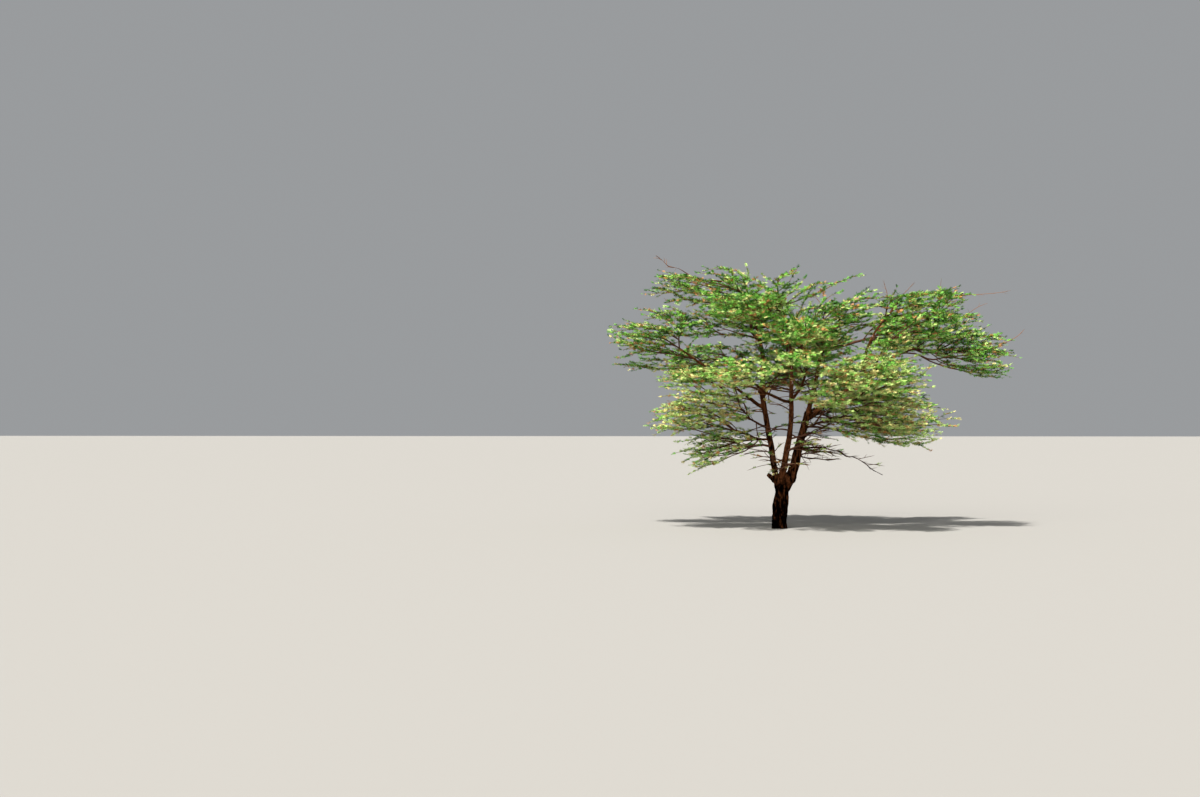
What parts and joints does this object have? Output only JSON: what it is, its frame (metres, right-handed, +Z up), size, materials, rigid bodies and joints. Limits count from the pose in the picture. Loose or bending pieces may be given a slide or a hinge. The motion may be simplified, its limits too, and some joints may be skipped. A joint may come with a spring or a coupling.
{
  "type": "acacia tree",
  "caption": "Savanna tree with a short trunk forking low into three stems and a wide, flat-layered, feathery crown.",
  "frame": {"origin": "middle of the flat cut under the trunk, at ground level", "axes": "+Z up, +X along the crown's longest spread, to the viewer's right in the picture; +Y away from the viewer"},
  "size_m": [9.096, 7.3686, 6.1036],
  "materials": {
    "bark": "rough, furrowed, near-black brown bark with a warmer brown on the sunlit limbs",
    "foliage": "small matte leaflets, yellow-green in the sun to dark green in the shade, some orange-brown"
  },
  "bodies": {
    "root": {"back_bough": "bark", "back_mass": "foliage", "back_right_bough": "bark", "back_right_mass": "foliage", "bare_low_branch": "bark", "bare_top_twig": "bark", "broken_low_branch": "bark", "centre_back_mass": "foliage", "centre_front_mass": "foliage", "centre_mass": "foliage", "centre_top_mass": "foliage", "drooping_right_bough": "bark", "drooping_right_mass": "foliage", "far_left_mass": "foliage", "far_left_upper_mass": "foliage", "far_right_mass": "foliage", "far_right_upper_mass": "foliage", "front_bough": "bark", "front_left_bough": "bark", "front_left_mass": "foliage", "front_low_mass": "foliage", "front_mass": "foliage", "front_right_bough": "bark", "front_right_mass": "foliage", "heart_mass": "foliage", "left_back_bough": "bark", "left_back_mass": "foliage", "left_low_bough": "bark", "left_low_mass": "foliage", "left_lower_bough": "bark", "left_lower_mass": "foliage", "left_lowest_mass": "foliage", "left_mid_mass": "foliage", "left_stem": "bark", "left_under_mass": "foliage", "long_left_bough": "bark", "long_plume_mass": "foliage", "middle_stem": "bark", "right_back_low_bough": "bark", "right_back_low_mass": "foliage", "right_back_mass": "foliage", "right_bough": "bark", "right_inner_mass": "foliage", "right_lower_bough": "bark", "right_lower_front_mass": "foliage", "right_lower_mass": "foliage", "right_mid_mass": "foliage", "right_plume_mass": "foliage", "right_stem": "bark", "right_top_mass": "foliage", "rising_right_stem": "bark", "top_back_mass": "foliage", "top_front_mass": "foliage", "top_mass": "foliage", "top_right_mass": "foliage", "trunk": "bark", "upper_left_mass": "foliage", "upper_left_stem": "bark", "upper_right_bough": "bark", "upper_right_stem": "bark"}
  },
  "joints": []
}
